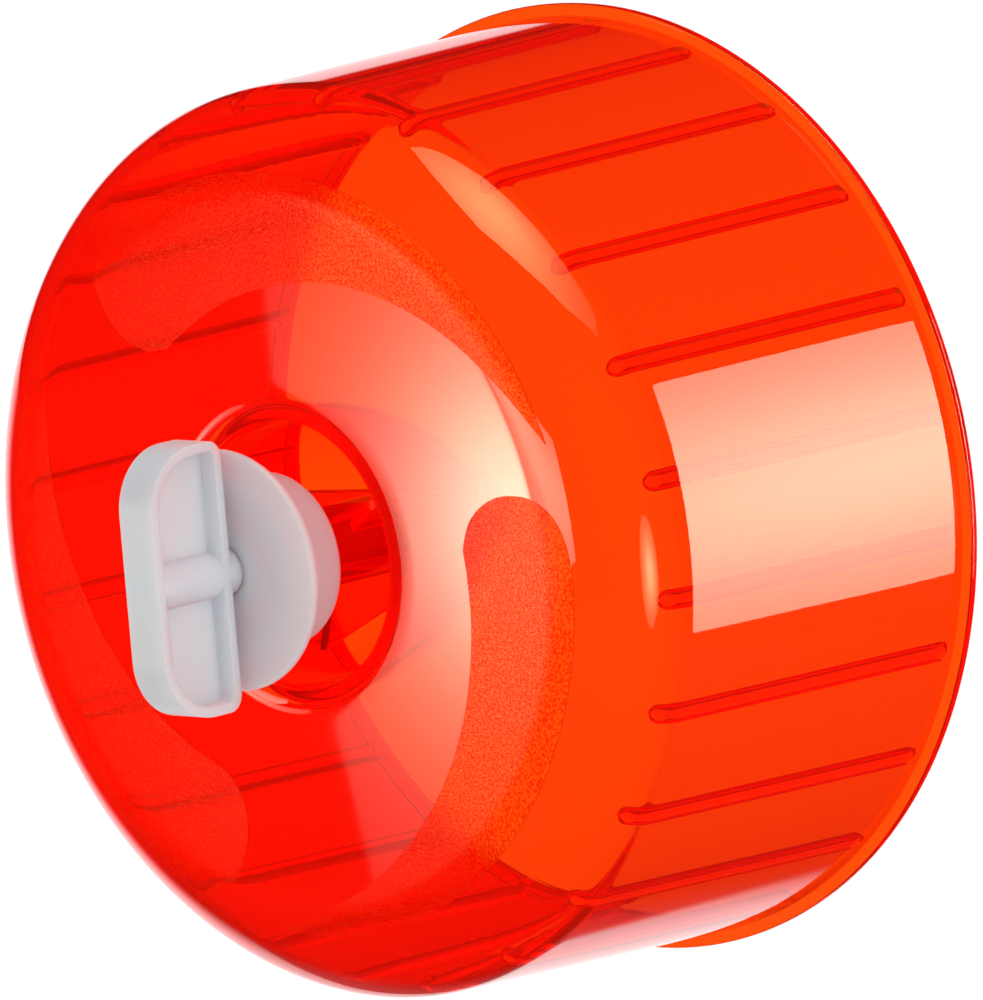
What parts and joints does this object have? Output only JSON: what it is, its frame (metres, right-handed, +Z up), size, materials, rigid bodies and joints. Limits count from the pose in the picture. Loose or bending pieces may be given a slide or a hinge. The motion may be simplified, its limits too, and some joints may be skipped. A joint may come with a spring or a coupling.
{
  "type": "hamster wheel",
  "caption": "See-through orange hamster wheel with inner ribs and a hub that turns on a white axle; its bar and disc clamp the wires of a cage.",
  "frame": {"origin": "on the axle's axis, in the middle of the gap that takes the wires of the cage", "axes": "+Y runs along the axle from the wires to the open rim of the drum, +Z is up along the bar, and +X completes the right-handed frame"},
  "size_m": [0.14, 0.099, 0.14],
  "materials": {
    "clear_orange_plastic": "clear, polished inside and out, with matt comma-shaped pads on the closed face",
    "milky_white_plastic": "natural, milky white, semi-matt"
  },
  "bodies": {
    "support": {"support_disc": "milky_white_plastic"},
    "lock": {"lock_bar_axle": "milky_white_plastic", "axle_cap": "milky_white_plastic"},
    "drum": {"running_drum": "clear_orange_plastic"}
  },
  "joints": [
    {"name": "lock_turn", "type": "hinge", "parent": "support", "child": "lock", "pos_m": [0, 0, 0], "axis": [0, 1, 0], "range_deg": [0, 90]},
    {"name": "drum_spin", "type": "hinge", "parent": "lock", "child": "drum", "pos_m": [0, 0.0484, 0], "axis": [0, 1, 0], "continuous": true}
  ]
}
